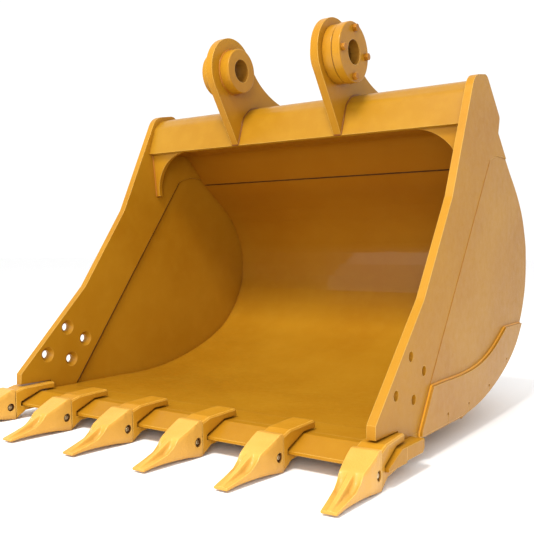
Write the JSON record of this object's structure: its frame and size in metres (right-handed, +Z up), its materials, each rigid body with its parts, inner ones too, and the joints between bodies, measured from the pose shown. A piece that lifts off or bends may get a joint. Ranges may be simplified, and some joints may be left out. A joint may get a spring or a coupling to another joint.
{
  "type": "excavator bucket",
  "caption": "Wide digging bucket: curved shell between two sides, toothed cutting edge with pinned-on tips, box beam and two pierced hinge plates on top.",
  "frame": {"origin": "on the stick pin's axis, midway between the bucket's two sides", "axes": "+X along the stick pin towards the side-play adjuster, -Y the way the teeth point, +Z up as the bucket stands"},
  "size_m": [1.744, 1.8314, 1.6265],
  "materials": {
    "side_bar_paint": "satin yellow paint on steel plate",
    "side_plate_paint": "satin yellow paint on steel plate",
    "shell_paint": "satin yellow paint on steel plate",
    "beam_paint": "satin yellow paint on steel plate",
    "gusset_paint": "satin yellow paint on steel plate",
    "hinge_paint": "satin yellow paint on steel plate",
    "boss_paint": "satin yellow paint on steel plate",
    "flange_paint": "satin yellow paint on steel plate",
    "fastener_paint": "satin yellow paint on steel plate",
    "edge_paint": "satin yellow paint on steel plate",
    "wear_plate_paint": "satin yellow paint on steel plate",
    "adapter_paint": "satin yellow paint on cast steel",
    "tip_paint": "satin yellow paint on cast steel",
    "shim_steel": "bare rolled steel",
    "pin_steel": "bare turned steel",
    "ring_steel": "dark spring steel"
  },
  "bodies": {
    "bucket": {"side_bar_right": "side_bar_paint", "side_bar_left": "side_bar_paint", "side_plate_right": "side_plate_paint", "side_plate_left": "side_plate_paint", "shell_lower": "shell_paint", "shell_upper": "shell_paint", "beam_plate": "beam_paint", "beam_closer": "beam_paint", "beam_rib_right": "beam_paint", "beam_rib_left": "beam_paint", "corner_gusset_right": "gusset_paint", "corner_gusset_left": "gusset_paint", "hinge_plate_right": "hinge_paint", "hinge_plate_left": "hinge_paint", "stick_boss_right": "boss_paint", "stick_boss_left": "boss_paint", "link_boss_right": "boss_paint", "link_boss_left": "boss_paint", "adjuster_shim": "shim_steel", "adjuster_flange": "flange_paint", "adjuster_washers": "fastener_paint", "adjuster_bolts": "fastener_paint", "cutting_edge": "edge_paint", "base_edge": "edge_paint", "heel_plate_right": "wear_plate_paint", "heel_plate_left": "wear_plate_paint", "wear_strip_1": "wear_plate_paint", "wear_strip_2": "wear_plate_paint", "wear_strip_3": "wear_plate_paint", "wear_strip_4": "wear_plate_paint", "adapter_1": "adapter_paint", "adapter_2": "adapter_paint", "adapter_3": "adapter_paint", "adapter_4": "adapter_paint", "adapter_5": "adapter_paint", "adapter_6": "adapter_paint", "tip_1": "tip_paint", "tip_2": "tip_paint", "tip_3": "tip_paint", "tip_4": "tip_paint", "tip_5": "tip_paint", "tip_6": "tip_paint", "lock_ring_1": "ring_steel", "lock_ring_2": "ring_steel", "lock_ring_3": "ring_steel", "lock_ring_4": "ring_steel", "lock_ring_5": "ring_steel", "lock_ring_6": "ring_steel"},
    "lock_pin_1": {"lock_pin_1": "pin_steel"},
    "lock_pin_2": {"lock_pin_2": "pin_steel"},
    "lock_pin_3": {"lock_pin_3": "pin_steel"},
    "lock_pin_4": {"lock_pin_4": "pin_steel"},
    "lock_pin_5": {"lock_pin_5": "pin_steel"},
    "lock_pin_6": {"lock_pin_6": "pin_steel"}
  },
  "joints": [
    {"name": "lock_pin_1_slide", "type": "slide", "parent": "bucket", "child": "lock_pin_1", "axis": [-0.9963, 0.0854, 0], "range_m": [0, 0.095]},
    {"name": "lock_pin_2_slide", "type": "slide", "parent": "bucket", "child": "lock_pin_2", "axis": [-1, 0, 0], "range_m": [0, 0.095]},
    {"name": "lock_pin_3_slide", "type": "slide", "parent": "bucket", "child": "lock_pin_3", "axis": [-1, 0, 0], "range_m": [0, 0.095]},
    {"name": "lock_pin_4_slide", "type": "slide", "parent": "bucket", "child": "lock_pin_4", "axis": [-1, 0, 0], "range_m": [0, 0.095]},
    {"name": "lock_pin_5_slide", "type": "slide", "parent": "bucket", "child": "lock_pin_5", "axis": [-1, 0, 0], "range_m": [0, 0.095]},
    {"name": "lock_pin_6_slide", "type": "slide", "parent": "bucket", "child": "lock_pin_6", "axis": [-0.9963, -0.0854, 0], "range_m": [0, 0.095]}
  ]
}
